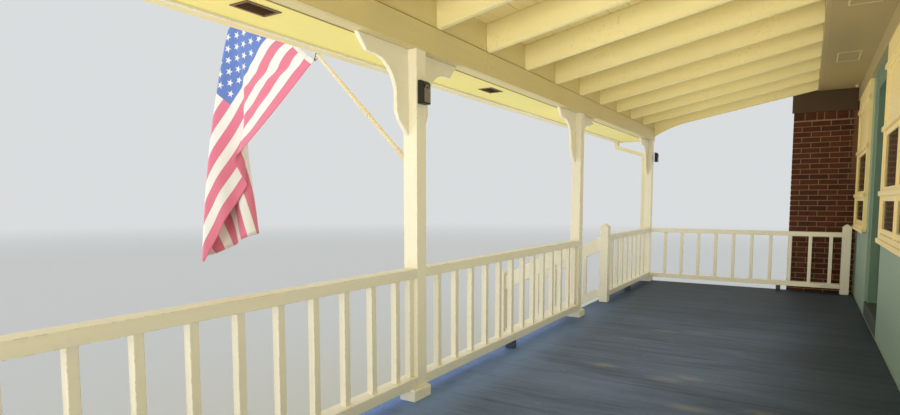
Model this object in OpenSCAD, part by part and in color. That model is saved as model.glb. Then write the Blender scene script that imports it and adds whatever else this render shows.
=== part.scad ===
// Front porch of a single-storey house: a boarded deck on piers, five square posts with sawn
// curved brackets, the end posts at the very ends of the beam, plain baluster railings, a shed
// roof on open rafters hung from the house eave, and steps down beside the second post.
// X runs along the house wall, the garden side is -Y, the house wall stands at +Y, +Z is up.
// The origin is on the ground, under the middle post.

/* [Plan] */
// Distance between the centres of the three inner posts
bay = 2743; // [2500:1:3000]
// Middle of the posts to the face of the house wall
wall_y = 2434; // [2200:1:2700]
// Height of the deck boards over the ground
deck_h = 450; // [420:1:540]
// Width of the clear way down the steps
way_w = 865; // [820:1:920]

/* [Posts and beam] */
// Side of the square posts
post_w = 92; // [86:1:96]
// Underside of the beam over the deck
beam_up = 1980; // [1900:1:2100]
// Depth of the beam
beam_d = 152; // [140:1:160]
// Reach of a bracket along the beam
brk_l = 428; // [400:1:450]
// Drop of a bracket down the post
brk_h = 478; // [450:1:500]
// Radius of the hollow sweep of a bracket
brk_r = 195; // [180:1:205]

/* [Roof] */
// Rise of the roof for each unit of run
slope = 0.195; // [0.15:0.0025:0.2]
// Upright depth of a rafter
raf_d = 187; // [175:1:195]
// Distance between rafter centres
raf_gap = 619; // [600:1:625]
// Distance of the fascia outside the middle of the posts
eave_y = 392; // [370:1:420]
// What the end bays are longer than the inner ones
end_more = 240; // [200:1:290]

/* [Railings] */
// Top of the hand rails over the deck
rail_up = 753; // [730:1:780]
// Distance between baluster centres in a long bay
bal_gap = 207; // [190:1:215]
// Side of the square balusters
bal_w = 38; // [34:1:42]

/* [Hidden] */
$fn = 48;
half = 2 * bay;
end_x = half + end_more;                // middle post to end post
pw = post_w / 2;
board = 38;                             // planed framing timber
thin = 19;                              // planed trim board
deck_t = 32;
deck_y = 95;                            // deck edge outside the middle of the posts
deck_x = end_x + 80;                    // deck edge past the middle post
rim_y = 60;
rim_x = deck_x - 25;
joist_d = 140;
joist_z = deck_h - deck_t - joist_d;
girder_z = joist_z - 140;
beam_z = deck_h + beam_up;
beam_top = beam_z + beam_d;
face_y = pw + 4;                        // inner face of the beam's facing board
foot_out = 27;                          // reach of a post's foot block past the post
roof_x = end_x + pw;                    // inner face of the end rafters
ledger_y = wall_y - 462;                // garden face of the ledger
wall_t = 140;
back_y = wall_y + wall_t;
eave_z = deck_h + 2507;                 // flat ceiling under the house eave
brick_x = half + 483;                   // face of the brick wing beyond the far end
brick_t = 201;
brick_y = wall_y - 710;
brick_z = deck_h + 2247;
rail_t = 55;
rail_z = deck_h + rail_up;
low_z = deck_h + 67;                    // underside of the bottom rails
low_t = 57;
newel_h = 850;
end_y = wall_y - 50 - post_w;           // where an end railing meets its newel
rise = deck_h / 3;
go = 280;
stair_s = rise / go;
way_x1 = -bay - pw;                     // post side of the step opening
way_x0 = way_x1 - way_w;                // newel side
newel_x = way_x0 - pw;
foot_y = -810;                          // newels at the foot of the steps
step_x0 = newel_x - pw;
step_x1 = -bay + pw;
door_x0 = -half + 1193;
door_x1 = -half + 2390;
door_z0 = deck_h + 140;
door_z1 = deck_h + 2348;
sill_z = deck_h + 822;
head_z = deck_h + 2166;
light_z = [deck_h + 1189, deck_h + 1687];  // the two rails that part a window's lights
case_w = 60;
case_t = 35;
frieze_t = 40;
pole_s = 45;                            // lean of the flag pole
pole_r = 12.7;
pole_l = 1880;
pole_y = -pw - 24;
pole_z = deck_h + 1380;
fly_s = 930;                            // distance up the pole to the flag

post_x = [-end_x, -bay, 0, bay, end_x];

// Height of a rafter's underside at y, and of the underside of the roof deck.
function under(y) = beam_top + slope * (y - face_y);
function over(y) = under(y) + raf_d;

// An outline in the Y-Z plane drawn out along X from x0 to x1.
module along_x(x0, x1) {
    translate([x0, 0, 0]) rotate([90, 0, 90]) linear_extrude(x1 - x0) children();
}

// A box from its low corner to its high corner.
module block(a, b) { translate(a) cube(b - a); }

// Deck: boards, rim, joists, girders and piers.

module deck_floor() {
    color("slategray") block([-deck_x, -deck_y, deck_h - deck_t], [deck_x, wall_y, deck_h]);
}

// Long boards at the garden side and at the wall, with the short ones butted between them.
module deck_rim() {
    color("beige") for (y = [-rim_y, wall_y - board])
        block([-rim_x, y, joist_z], [rim_x, y + board, deck_h - deck_t]);
}

module deck_rim_ends() {
    color("beige") for (x = [-rim_x, rim_x - board])
        block([x, -rim_y + board, joist_z], [x + board, wall_y - board, deck_h - deck_t]);
}

// Joists along the house on five cross girders, one under each line of posts.
module joists() {
    n = 5;
    gap = (wall_y + rim_y - 2 * board) / (n + 1);
    color("burlywood") for (i = [1 : n]) let (y = -rim_y + board + i * gap)
        block([-rim_x + board, y - board / 2, joist_z], [rim_x - board, y + board / 2, deck_h - deck_t]);
}

module girders() {
    color("burlywood") for (x = post_x)
        block([x - 45, -rim_y + 5, girder_z], [x + 45, wall_y - 5, joist_z]);
}

// The piers at the ends stand a little inward, so that they stay under the deck.
module piers() {
    color("rosybrown") for (x = [-end_x + 86, -bay, 0, bay, end_x - 86],
                            y = [95, wall_y / 2, wall_y - 155])
        block([x - 150, y - 150, 0], [x + 150, y + 150, girder_z]);
}

// Posts and their brackets.

// A square post on a slightly wider foot block with an eased top edge.
module post(x, lo = -[1, 1] * (pw + foot_out), hi = [1, 1] * (pw + foot_out)) {
    foot = low_z - deck_h;
    ease = [7, 7, -9];
    color("ivory") translate([x, 0, deck_h]) {
        linear_extrude(beam_up) square(post_w, center = true);
        hull() {
            block([lo.x, lo.y, 0], [hi.x, hi.y, foot + ease.z]);
            block([lo.x + ease.x, lo.y + ease.y, 0], [hi.x - ease.x, hi.y - ease.y, foot]);
        }
    }
}

module post_far_end() { post(-end_x); }
module post_steps() { post(-bay); }
module post_middle() { post(0, [-50, -29], [115, 73]); }      // its block is set off to one side
module post_near() { post(bay); }
module post_near_end() { post(end_x); }

// A flat board sawn with a slanted nose, a hollow quarter sweep, a straight shank and a
// slanted heel. It starts at the post's face and lies under the beam.
module bracket() {
    t = 25;
    shank = brk_l * 0.245;
    nose = brk_h * 0.17;
    cx = shank + brk_r;
    cz = -nose - brk_r;
    color("ivory") translate([0, -pw + 11 + t, 0]) rotate([90, 0, 0]) difference() {
        linear_extrude(t) polygon([[0, 0], [brk_l, 0], [brk_l - nose * 0.92, -nose], [cx, -nose],
            [shank, cz], [shank, -brk_h * 0.72], [shank * 0.78, -brk_h * 0.83], [0, -brk_h]]);
        translate([cx, cz, -1]) cylinder(r = brk_r, h = t + 2, $fn = 72);
    }
}

module post_brackets() {
    for (i = [0 : 3]) translate([post_x[i] + pw, 0, beam_z]) bracket();
    for (i = [1 : 4]) translate([post_x[i] - pw, 0, beam_z]) mirror([1, 0, 0]) bracket();
}

// Beam and roof.

module beam() {
    color("tan") block([-roof_x, -pw, beam_z], [roof_x, face_y - thin, beam_top]);
}

// A thin board on the house side of the beam, almost flush with the posts.
module beam_facing() {
    color("tan") block([-roof_x, face_y - thin, beam_z], [roof_x, face_y, beam_top]);
}

// A rafter with a seat cut over the beam, a plumb tail at the fascia and a plumb head at the ledger.
module rafter(x) {
    color("wheat") along_x(x - board / 2, x + board / 2) polygon([
        [-eave_y, under(-eave_y)], [-pw, under(-pw)], [-pw, beam_top], [face_y, beam_top],
        [ledger_y, under(ledger_y)], [ledger_y, over(ledger_y)], [-eave_y, over(-eave_y)]]);
}

raf_n = floor((2 * roof_x - 650 - board) / raf_gap) + 1;
function raf_x(i) = -roof_x + 634 + i * raf_gap;

module rafters() { for (i = [0 : raf_n - 1]) rafter(raf_x(i)); }

// Boards that close the gaps between the rafters over the beam.
module rafter_blocking() {
    ends = concat([-roof_x - board / 2], [for (i = [0 : raf_n - 1]) raf_x(i)], [roof_x + board / 2]);
    color("tan") for (i = [0 : raf_n])
        along_x(ends[i] + board / 2, ends[i + 1] - board / 2)
            polygon([[face_y - 27, beam_top], [face_y - 8, beam_top],
                     [face_y - 8, over(face_y - 8)], [face_y - 27, over(face_y - 27)]]);
}

// The pair of deeper rafters that close the ends of the roof: level under the eave and the beam,
// then a hollow sweep up to the other rafters. The near one closes the house eave too.
module end_rafters() {
    e = -eave_y - thin;
    foot = concat([[e, over(e)], [e, beam_z], [face_y, beam_z]],
        [for (u = [0 : 0.125 : 1]) let (y = face_y + 410 * u)
            [y, under(y) - 12 - 83 * pow(1 - u, 2)]],
        [[ledger_y, under(ledger_y) - 12]]);
    color("ivory") {
        along_x(-roof_x - board, -roof_x) polygon(concat(foot, [[ledger_y, over(ledger_y)]]));
        along_x(roof_x, roof_x + board) polygon(concat(foot,
            [[ledger_y, eave_z], [wall_y, eave_z], [wall_y, over(wall_y)]]));
    }
}

// The boarding runs on over the house eave to the back of the wall, and over the brick wing.
module roof_deck() {
    t = 15;
    e = -eave_y - thin;
    color("burlywood") {
        along_x(-roof_x - board, roof_x + board)
            polygon([[e, over(e)], [back_y, over(back_y)],
                     [back_y, over(back_y) + t], [e, over(e) + t]]);
        along_x(-brick_x - brick_t - 30, -roof_x - board)
            polygon([[brick_y - 30, over(brick_y - 30)], [back_y, over(back_y)],
                     [back_y, over(back_y) + t], [brick_y - 30, over(brick_y - 30) + t]]);
    }
}

module roof_covering() {
    t = 8;
    e = -eave_y - thin - 14;
    color("dimgray") {
        along_x(-roof_x - board - 12, roof_x + board + 12)
            polygon([[e, over(e) + 15], [back_y, over(back_y) + 15],
                     [back_y, over(back_y) + 15 + t], [e, over(e) + 15 + t]]);
        along_x(-brick_x - brick_t - 40, -roof_x - board - 12)
            polygon([[brick_y - 40, over(brick_y - 40) + 15], [back_y, over(back_y) + 15],
                     [back_y, over(back_y) + 15 + t], [brick_y - 40, over(brick_y - 40) + 15 + t]]);
    }
}

module fascia() {
    e = -eave_y - thin;
    color("ivory") along_x(-roof_x, roof_x)
        polygon([[e, beam_z - 10], [-eave_y, beam_z - 10], [-eave_y, over(-eave_y)], [e, over(e)]]);
}

vent_n = 5;
vent_l = 190;
vent_w = 115;
vent_y = -178;
vent_gap = 0.8057 * bay;
function vent_x(i) = (i - 1.57) * vent_gap;

// Flat boxed eave between the beam and the fascia, cut out for the vents.
module eave_soffit() {
    color("khaki") difference() {
        block([-roof_x, -eave_y, beam_z], [roof_x, -pw, beam_z + 10]);
        for (i = [0 : vent_n - 1])
            translate([vent_x(i), vent_y, beam_z + 5])
                cube([vent_l - 20, vent_w - 20, 20], center = true);
    }
}

// Slatted vent grilles set in the soffit.
module soffit_vents() {
    slats = 6;
    color("saddlebrown") for (i = [0 : vent_n - 1]) translate([vent_x(i), vent_y, beam_z]) {
        difference() {
            union() {
                translate([0, 0, -2]) cube([vent_l, vent_w, 4], center = true);
                translate([0, 0, 4]) cube([vent_l - 20, vent_w - 20, 9], center = true);
            }
            cube([vent_l - 30, vent_w - 30, 30], center = true);
        }
        for (s = [1 : slats])
            translate([0, -(vent_w - 30) / 2 + s * (vent_w - 30) / (slats + 1), 1])
                rotate([35, 0, 0]) cube([vent_l - 29, 1.6, 10], center = true);
    }
}

// Rolled gutter: flat back and floor, a front that sweeps out to a turned lip.
module gutter() {
    e = -eave_y - thin;
    h = 128;
    t = 3;
    z = beam_z - 2;
    x = roof_x + board;
    // front of the trough, from the floor up, as distance out and height
    front = [for (i = [0 : 8]) let (a = i * 180 / 8)
        [86 + 38 * (1 - cos(a)) / 2, 22 + (h - 42) * i / 8]];
    outer = concat([[0, h], [0, 0], [86, 0]], front, [[127, h - 18], [127, h], [113, h], [113, h - t],
        [127 - t, h - t], [127 - t, h - 18]]);
    inner = concat([for (i = [8 : -1 : 0]) front[i] - [t, 0]], [[86 - t, t], [t, t], [t, h]]);
    color("ivory") {
        along_x(-x, x) translate([e, z]) mirror([1, 0]) polygon(concat(outer, inner));
        for (s = [-x, x - t]) along_x(s, s + t) translate([e, z]) mirror([1, 0])
            polygon(concat([[0, h], [0, 0], [86, 0]], front, [[127, h - 18], [127, h]]));
    }
}

// Outline of a strip of width w along the points p, mitred where it bends.
function turned(v) = [-v[1], v[0]] / norm(v);
function mitre(p, i) = let (
    n1 = turned(p[max(i, 1)] - p[max(i, 1) - 1]),
    n2 = turned(p[min(i, len(p) - 2) + 1] - p[min(i, len(p) - 2)])) (n1 + n2) / (1 + n1 * n2);
function strip(p, w) = concat([for (i = [0 : len(p) - 1]) p[i] + mitre(p, i) * w / 2],
    [for (i = [len(p) - 1 : -1 : 0]) p[i] - mitre(p, i) * w / 2]);

// A flat-sided pipe from the gutter, back under the eave, down the post, out past the deck's
// edge and away from the foot.
module downspout(x) {
    wide = 76;
    deep = 50;
    wall_of_pipe = 2;
    out_y = -eave_y - thin - 52;
    post_y = -pw - deep / 2;
    down_y = -deck_y - deep / 2 - 10;
    top = beam_z - 2;
    foot = [[down_y, 132], [down_y - 95, 78]];
    route = concat([[out_y, top], [out_y, top - 75], [post_y, top - 205],
        [post_y, deck_h + 215], [down_y, deck_h + 150]], foot);
    color("ivory") {
        difference() {
            along_x(x - wide / 2, x + wide / 2) polygon(strip(route, deep));
            // the open end
            along_x(x - wide / 2 + wall_of_pipe, x + wide / 2 - wall_of_pipe)
                polygon(strip([foot[1] + (foot[0] - foot[1]) * 0.7, foot[1] * 2 - foot[0]],
                    deep - 2 * wall_of_pipe));
        }
        // straps round the pipe onto the post
        for (z = [deck_h + 350, deck_h + 1400])
            block([x - wide / 2 - 3, post_y - deep / 2 - 3, z], [x + wide / 2 + 3, -pw, z + 28]);
    }
}

module downspouts() { for (x = [-end_x, end_x]) downspout(x); }

// House side: ledger, eave, wall, brick wing, door and windows.

module ledger() {
    color("tan") along_x(-brick_x + 20, roof_x)
        polygon([[ledger_y, eave_z], [ledger_y + board, eave_z],
                 [ledger_y + board, over(ledger_y + board)], [ledger_y, over(ledger_y)]]);
}

module house_eave_soffit() {
    color("darkkhaki") block([-brick_x + 20, ledger_y + board, eave_z], [roof_x, wall_y, eave_z + 10]);
}

module frieze_board() {
    color("darkkhaki")
        block([-brick_x + 20, wall_y - frieze_t, door_z1], [roof_x + board, wall_y, eave_z]);
}

// Outer edges of the casings: one window at each end of the wall and two wide ones between.
win_end = [half - 1056, half + 314];
win_mid = [-door_x1 - 1996, -door_x1 - 156];
function win(i) = [-[win_end[1], win_end[0]], -[win_mid[1], win_mid[0]], win_mid, win_end][i];

module house_wall() {
    color("cadetblue") difference() {
        along_x(-brick_x, roof_x + board)
            polygon([[wall_y, 0], [back_y, 0], [back_y, over(back_y)], [wall_y, over(wall_y)]]);
        block([door_x0, wall_y - 1, deck_h], [door_x1, back_y + 1, door_z1]);
        for (i = [0 : 3])
            block([win(i)[0] + case_w, wall_y - 1, sill_z + 28],
                  [win(i)[1] - case_w, back_y + 1, head_z]);
    }
}

module brick_return() {
    color("brown") block([-brick_x - brick_t, brick_y, 0], [-brick_x, back_y, brick_z]);
}

module brick_frieze() {
    color("saddlebrown") along_x(-brick_x - brick_t, -brick_x)
        polygon([[brick_y, brick_z], [back_y, brick_z],
                 [back_y, over(back_y)], [brick_y, over(brick_y)]]);
    color("saddlebrown")
        block([-brick_x, brick_y - 20, brick_z], [-brick_x + 20, wall_y - frieze_t, eave_z]);
}

module door_frame() {
    w = 100;
    stop = 14;
    color("darkseagreen") difference() {
        block([door_x0, wall_y + 20, door_z0], [door_x1, back_y, door_z1]);
        block([door_x0 + w + stop, wall_y, door_z0 - 1],
              [door_x1 - w - stop, back_y + 1, door_z1 - 130 - stop]);
        block([door_x0 + w, back_y - 46.3, door_z0 - 1], [door_x1 - w, back_y + 1, door_z1 - 130]);
    }
}

// Framed door leaf with two sunk panels and a round knob.
module door() {
    x0 = door_x0 + 103;
    x1 = door_x1 - 103;
    z1 = door_z1 - 133;
    y = back_y - 46;
    color("darkseagreen") {
        difference() {
            block([x0, y, door_z0 + 3], [x1, back_y - 2, z1]);
            for (z = [[door_z0 + 220, door_z0 + 860], [door_z0 + 1010, z1 - 130]])
                block([x0 + 120, y - 1, z[0]], [x1 - 120, y + 10, z[1]]);
        }
        translate([x1 - 62, y, door_z0 + 930]) rotate([90, 0, 0]) rotate_extrude($fn = 32)
            polygon([[0, 0], [32, 0], [32, 5], [12, 9], [11, 26], [24, 34], [28, 46], [24, 58], [0, 64]]);
    }
}

module door_step() {
    color("darkslategray") block([door_x0, wall_y, deck_h], [door_x1, back_y, door_z0]);
}

// A window of stacked lights: box frame through the wall, casing proud of it, and a sill, two
// rails and a head whose ends run past the casing.
module window_frame(x0, x1, cols) {
    fr = 45;
    yb = back_y;
    yc = wall_y - case_t;
    pitch = (x1 - x0 - 2 * case_w) / cols;
    rows = [sill_z + 28, light_z[0], light_z[1], head_z];
    color("wheat") {
        difference() {
            union() {
                block([x0 + case_w, wall_y, rows[0]], [x1 - case_w, yb, rows[3]]);
                block([x0, yc, sill_z], [x1, wall_y, door_z1]);
            }
            for (c = [0 : cols - 1], r = [0 : 2]) {
                lo = [x0 + case_w + c * pitch + fr * 0.7, rows[r] + (r == 0 ? fr : fr / 2)];
                hi = [x0 + case_w + (c + 1) * pitch - fr * 0.7, rows[r + 1] - (r == 2 ? fr : fr / 2)];
                // sight opening, wider outside the glass than at it
                block([lo[0], yc - 1, lo[1]], [hi[0], yb + 1, hi[1]]);
                block([lo[0] - 18, yc - 1, lo[1] - 12], [hi[0] + 18, wall_y + 40, hi[1] + 12]);
            }
        }
        for (z = concat([sill_z], light_z, [head_z]))
            block([x0 - 22, yc - 12, z - 14], [x1 + 22, yc, z + 24]);
    }
}

module wide_windows() { for (i = [1, 2]) window_frame(win(i)[0], win(i)[1], 2); }
module end_windows() { for (i = [0, 3]) window_frame(win(i)[0], win(i)[1], 1); }

// One pane in each light.
module window_glass() {
    fr = 45;
    rows = [sill_z + 28, light_z[0], light_z[1], head_z];
    color("lightblue", 0.5) for (i = [0 : 3]) {
        cols = (i == 1 || i == 2) ? 2 : 1;
        x0 = win(i)[0] + case_w;
        pitch = (win(i)[1] - case_w - x0) / cols;
        for (c = [0 : cols - 1], r = [0 : 2])
            block([x0 + c * pitch + fr * 0.7, wall_y + 60, rows[r] + (r == 0 ? fr : fr / 2)],
                  [x0 + (c + 1) * pitch - fr * 0.7, wall_y + 66,
                   rows[r + 1] - (r == 2 ? fr : fr / 2)]);
    }
}

// Railings.

// A level panel along X between two faces, with balusters at the given centres.
module panel(x0, x1, at) {
    block([x0, -pw, rail_z - rail_t], [x1, pw, rail_z]);
    block([x0, -pw, low_z], [x1, pw, low_z + low_t]);
    for (x = at)
        block([x - bal_w / 2, -bal_w / 2, low_z + low_t], [x + bal_w / 2, bal_w / 2, rail_z - rail_t]);
}

// Balusters of a whole bay: an even row, and one more against each post.
function long_bay(x0, x1, shift) = let (m = (x0 + x1) / 2 + shift,
    n = floor((x1 - x0 - 3 * bal_w - 100) / bal_gap) + 1) concat(
    [x0 + bal_w / 2], [for (i = [0 : n - 1]) m + (i - (n - 1) / 2) * bal_gap],
    [x1 - bal_w / 2]);
function even(x0, x1, n) = [for (i = [1 : n]) x0 + i * (x1 - x0) / (n + 1)];

module bay_railing(i, shift) {
    x0 = post_x[i] + pw;
    x1 = post_x[i + 1] - pw;
    color("ivory") panel(x0, x1, long_bay(x0, x1, shift));
}

module railing_far() {
    x0 = -end_x + pw;
    x1 = newel_x - pw;
    color("ivory") panel(x0, x1, even(x0, x1, 8));
}
module railing_steps_to_middle() { bay_railing(1, 0); }
module railing_middle_to_near() { bay_railing(2, -39); }
module railing_near() { bay_railing(3, -39); }

// Evenly spaced from the post on, with what is left over at the wall.
module end_railing(x) {
    gap = 215;
    n = floor((end_y - pw - gap - bal_w - 30) / gap) + 1;
    color("ivory") translate([x, 0, 0]) rotate([0, 0, 90])
        panel(pw, end_y, [for (i = [0 : n - 1]) pw + 201 + i * gap]);
}
module end_railing_far() { end_railing(-end_x); }
module end_railing_near() { end_railing(end_x); }

// A short square post with a four-sided point.
module newel(x, y, z, h) {
    point = 32;
    translate([x, y, z]) {
        translate([0, 0, h / 2]) cube([post_w, post_w, h], center = true);
        translate([0, 0, h]) rotate([0, 0, 45])
            cylinder(r1 = pw * sqrt(2), r2 = 12, h = point, $fn = 4);
    }
}

module newels() {
    color("ivory") {
        newel(newel_x, 0, deck_h, newel_h);
        for (x = [newel_x, -bay]) newel(x, foot_y, 0, deck_h + 380);
        for (x = [-end_x, end_x]) newel(x, end_y + pw, deck_h, newel_h - 30);
    }
}

// Dark blocks that hold up the middle of each bottom rail.
module railing_feet() {
    color("dimgray") {
        for (x = [-bay / 2 + 90, bay / 2, (bay + end_x) / 2, (newel_x - end_x) / 2])
            translate([x, 0, (deck_h + low_z) / 2]) cube([50, 70, low_z - deck_h], center = true);
        for (x = [-end_x, end_x])
            translate([x, 1640, (deck_h + low_z) / 2]) cube([70, 50, low_z - deck_h], center = true);
    }
}

// Steps.

module stair_stringers() {
    z2 = deck_h - deck_t - 150;
    color("burlywood") for (x = [step_x0 + 5, (step_x0 + step_x1) / 2 - board / 2, step_x1 - 5 - board])
        along_x(x, x + board) polygon([
            [-rim_y, 2 * rise - deck_t], [-rim_y - go, 2 * rise - deck_t],
            [-rim_y - go, rise - deck_t], [-rim_y - 2 * go, rise - deck_t],
            [-rim_y - 2 * go, 0], [-rim_y - 2 * go + 250, 0], [-rim_y, 2 * rise - 190]]);
}

// Back face of the riser under tread k, counted from the ground.
function riser_y(k) = -rim_y - (3 - k) * go;
riser_t = 18;

module stair_treads() {
    color("slategray") for (k = [1, 2])
        block([step_x0, riser_y(k) - riser_t - 25, k * rise - deck_t],
              [step_x1, riser_y(k + 1) - riser_t, k * rise]);
}

module stair_risers() {
    color("ivory") for (k = [1 : 3])
        block([step_x0, riser_y(k) - riser_t, (k - 1) * rise], [step_x1, riser_y(k), k * rise - deck_t]);
}

// Sloping railing in the line of a newel: a wide board on edge, a lower board and upright bars.
module stair_railing(x, foot) {
    y0 = -pw;
    low = y0 - foot;                    // the lower board stops at the post's foot block
    y1 = foot_y + pw;
    top = rail_z - 13;
    function drop(y) = stair_s * (y0 - y);
    color("ivory") {
        along_x(x - board / 2, x + board / 2) {
            polygon([[y0, top], [y0, top - 158], [y1, top - 158 - drop(y1)], [y1, top - drop(y1)]]);
            polygon([[low, top - 578 - drop(low)], [low, top - 678 - drop(low)],
                     [y1, top - 678 - drop(y1)], [y1, top - 578 - drop(y1)]]);
        }
        for (i = [1 : 3]) let (y = y0 + i * (y1 - y0) / 4)
            along_x(x - bal_w / 2, x + bal_w / 2) polygon([
                [y - 19, top - 578 - drop(y - 19)], [y + 19, top - 578 - drop(y + 19)],
                [y + 19, top - 158 - drop(y + 19)], [y - 19, top - 158 - drop(y - 19)]]);
    }
}

module stair_railings() {
    stair_railing(newel_x, 0);
    stair_railing(-bay, foot_out);
}

// Flag and light.

// Places children with Z up along the leaning pole, from its lower end.
module on_pole(s = 0) {
    translate([0, pole_y, pole_z]) rotate([pole_s, 0, 0]) translate([0, 0, s]) children();
}

module flag_bracket() {
    color("silver") difference() {
        union() {
            block([-22, -pw - 5, pole_z - 45], [22, -pw, pole_z + 65]);
            on_pole(-6) cylinder(r = pole_r + 3.5, h = 86);
            block([-4, -pw - 40, pole_z - 14], [4, -pw - 4, pole_z + 30]);
        }
        on_pole() cylinder(r = pole_r + 0.3, h = 200);
        block([-60, -pw, pole_z - 200], [60, pw, pole_z + 200]);
    }
}

module flag_pole() {
    color("wheat") on_pole() {
        cylinder(r = pole_r, h = pole_l);
        translate([0, 0, 375]) cylinder(r = pole_r + 2.5, h = 80);
        translate([0, 0, pole_l + 20]) sphere(r = 24);
    }
}

// The room the flag takes up as it hangs from the upper half of the pole: thin along the pole,
// wider where the cloth bunches in folds below.
module flag() {
    h = 914;
    o = pole_r + 0.3;
    color("firebrick") {
        hull() {
            on_pole(fly_s) {
                translate([-12, -o - 8, 0]) cube([24, 8, h]);
                translate([-70, -o - 90, 40]) cube([110, 8, h - 80]);
            }
            translate([0, pole_y, pole_z]) block([-75, -1630, 30], [112, -1330, 400]);
        }
        hull() translate([0, pole_y, pole_z]) {
            block([-75, -1630, 30], [112, -1330, 400]);
            block([-102, -1668, -695], [183, -1370, -485]);
        }
    }
}

module post_light() {
    color("black") translate([0, pw, deck_h + 1678]) {
        translate([-35, 0, 0]) cube([70, 41, 112]);
        translate([-35, 0, 112]) intersection() {
            cube([70, 41, 18]);
            translate([0, 23, 0]) rotate([0, 90, 0]) cylinder(r = 18 + 5, h = 70);
        }
    }
}

deck_floor();
deck_rim();
deck_rim_ends();
joists();
girders();
piers();
post_far_end();
post_steps();
post_middle();
post_near();
post_near_end();
post_brackets();
beam();
beam_facing();
rafters();
rafter_blocking();
end_rafters();
roof_deck();
roof_covering();
fascia();
eave_soffit();
soffit_vents();
gutter();
downspouts();
ledger();
house_eave_soffit();
frieze_board();
house_wall();
brick_return();
brick_frieze();
door_frame();
door();
door_step();
wide_windows();
end_windows();
window_glass();
railing_far();
railing_steps_to_middle();
railing_middle_to_near();
railing_near();
end_railing_far();
end_railing_near();
newels();
railing_feet();
stair_stringers();
stair_treads();
stair_risers();
stair_railings();
flag_bracket();
flag_pole();
flag();
post_light();
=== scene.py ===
"""A house front porch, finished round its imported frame.
Metres. X runs along the house wall, -Y is the open front, Z is up, and the origin is on the ground
under the middle post."""

import math
import random

import bmesh
import bpy
from mathutils import Matrix, Vector


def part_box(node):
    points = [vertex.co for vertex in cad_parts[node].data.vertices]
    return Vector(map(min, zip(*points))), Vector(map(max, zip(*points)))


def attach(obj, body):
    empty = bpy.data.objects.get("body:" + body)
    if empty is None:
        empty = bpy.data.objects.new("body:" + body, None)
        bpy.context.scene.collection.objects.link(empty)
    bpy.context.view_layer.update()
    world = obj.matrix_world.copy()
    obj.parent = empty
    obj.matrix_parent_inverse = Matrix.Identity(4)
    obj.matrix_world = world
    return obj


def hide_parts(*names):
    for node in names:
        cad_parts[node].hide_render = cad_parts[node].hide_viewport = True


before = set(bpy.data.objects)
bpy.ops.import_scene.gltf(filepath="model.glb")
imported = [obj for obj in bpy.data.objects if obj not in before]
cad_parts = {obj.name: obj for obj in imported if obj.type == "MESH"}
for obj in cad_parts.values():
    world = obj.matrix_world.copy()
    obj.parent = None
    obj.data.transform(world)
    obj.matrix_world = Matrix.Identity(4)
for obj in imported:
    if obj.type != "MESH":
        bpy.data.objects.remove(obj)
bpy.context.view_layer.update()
scene = bpy.context.scene


# The camera stands on the deck near the house wall, at eye height, and looks along the porch and
# a little out to the front, as the photograph does.
EYE = (2.719, 1.916, 1.590)
HEADING = math.radians(31.716)  # from -X towards -Y
DIP = math.radians(4.52)


def put(name, data):
    """A new object in the scene."""
    made = bpy.data.objects.new(name, data)
    scene.collection.objects.link(made)
    return made


look = Vector((-math.cos(HEADING) * math.cos(DIP), -math.sin(HEADING) * math.cos(DIP), -math.sin(DIP)))
camera = put("camera", bpy.data.cameras.new("camera"))
camera.location = EYE
camera.rotation_euler = look.to_track_quat("-Z", "Y").to_euler()
camera.data.sensor_width = 36.0
camera.data.lens = 23.07
camera.data.shift_y = 0.0429
camera.data.clip_start = 0.05
scene.camera = camera
scene.view_settings.view_transform = "Standard"


# The stage is a plain pale floor that fades into a plain pale backdrop. A broad low sun from the
# near end and an even sky light the porch from its open sides, and soft fills stand for the light
# that comes in under the roof from all round.
BACKDROP = (0.70, 0.72, 0.73, 1.0)


def add_node(tree, kind, inputs=None, **settings):
    """A shader node with its settings, and its inputs set to values or linked to sockets."""
    made = tree.nodes.new("ShaderNode" + kind)
    for key, value in settings.items():
        setattr(made, key, value)
    for key, value in (inputs or {}).items():
        if isinstance(value, bpy.types.NodeSocket):
            tree.links.new(value, made.inputs[key])
        else:
            made.inputs[key].default_value = value
    return made


def blank_material(name):
    """A new material that holds only its output, and its node tree."""
    made = bpy.data.materials.new(name)
    made.use_nodes = True
    made.node_tree.nodes.clear()
    add_node(made.node_tree, "OutputMaterial")
    return made, made.node_tree


def shaded(made, shader):
    """Links a shader to a material's surface."""
    out = made.node_tree.nodes["Material Output"]
    made.node_tree.links.new(shader.outputs[0], out.inputs["Surface"])
    return made


def maths(operation, first, second=0.5, third=0.5, clamp=False):
    """The result of one sum on values and sockets, the first or second of them a socket."""
    tree = (first if isinstance(first, bpy.types.NodeSocket) else second).id_data
    return add_node(tree, "Math", {0: first, 1: second, 2: third}, operation=operation,
                    use_clamp=clamp).outputs[0]


def most(first, second):
    return maths("MAXIMUM", first, second)


def seen_straight(tree):
    """1 for rays that come from the camera, straight or by way of glass or a mirror."""
    path = add_node(tree, "LightPath").outputs
    return most(most(path["Is Camera Ray"], path["Is Glossy Ray"]), path["Is Transmission Ray"])


def mixed(share, first, second):
    """Two colours mixed by a share."""
    return add_node(share.id_data, "Mix", {0: share, 6: first, 7: second}, data_type="RGBA").outputs[2]


sky = bpy.data.worlds.new("sky")
sky.use_nodes = True
scene.world = sky
sky_nodes = sky.node_tree
sky_nodes.nodes.clear()
shown = add_node(sky_nodes, "Background", {"Color": BACKDROP, "Strength": 1.0})
lighting = add_node(sky_nodes, "Background", {"Color": (0.93, 0.97, 1.0, 1.0), "Strength": 0.95})
either = add_node(sky_nodes, "MixShader",
                  {0: seen_straight(sky_nodes), 1: lighting.outputs[0], 2: shown.outputs[0]})
add_node(sky_nodes, "OutputWorld", {"Surface": either.outputs[0]})

STAGE_R = 45.0
FADE_FROM, FADE_TO = 14.0, 40.5


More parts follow.
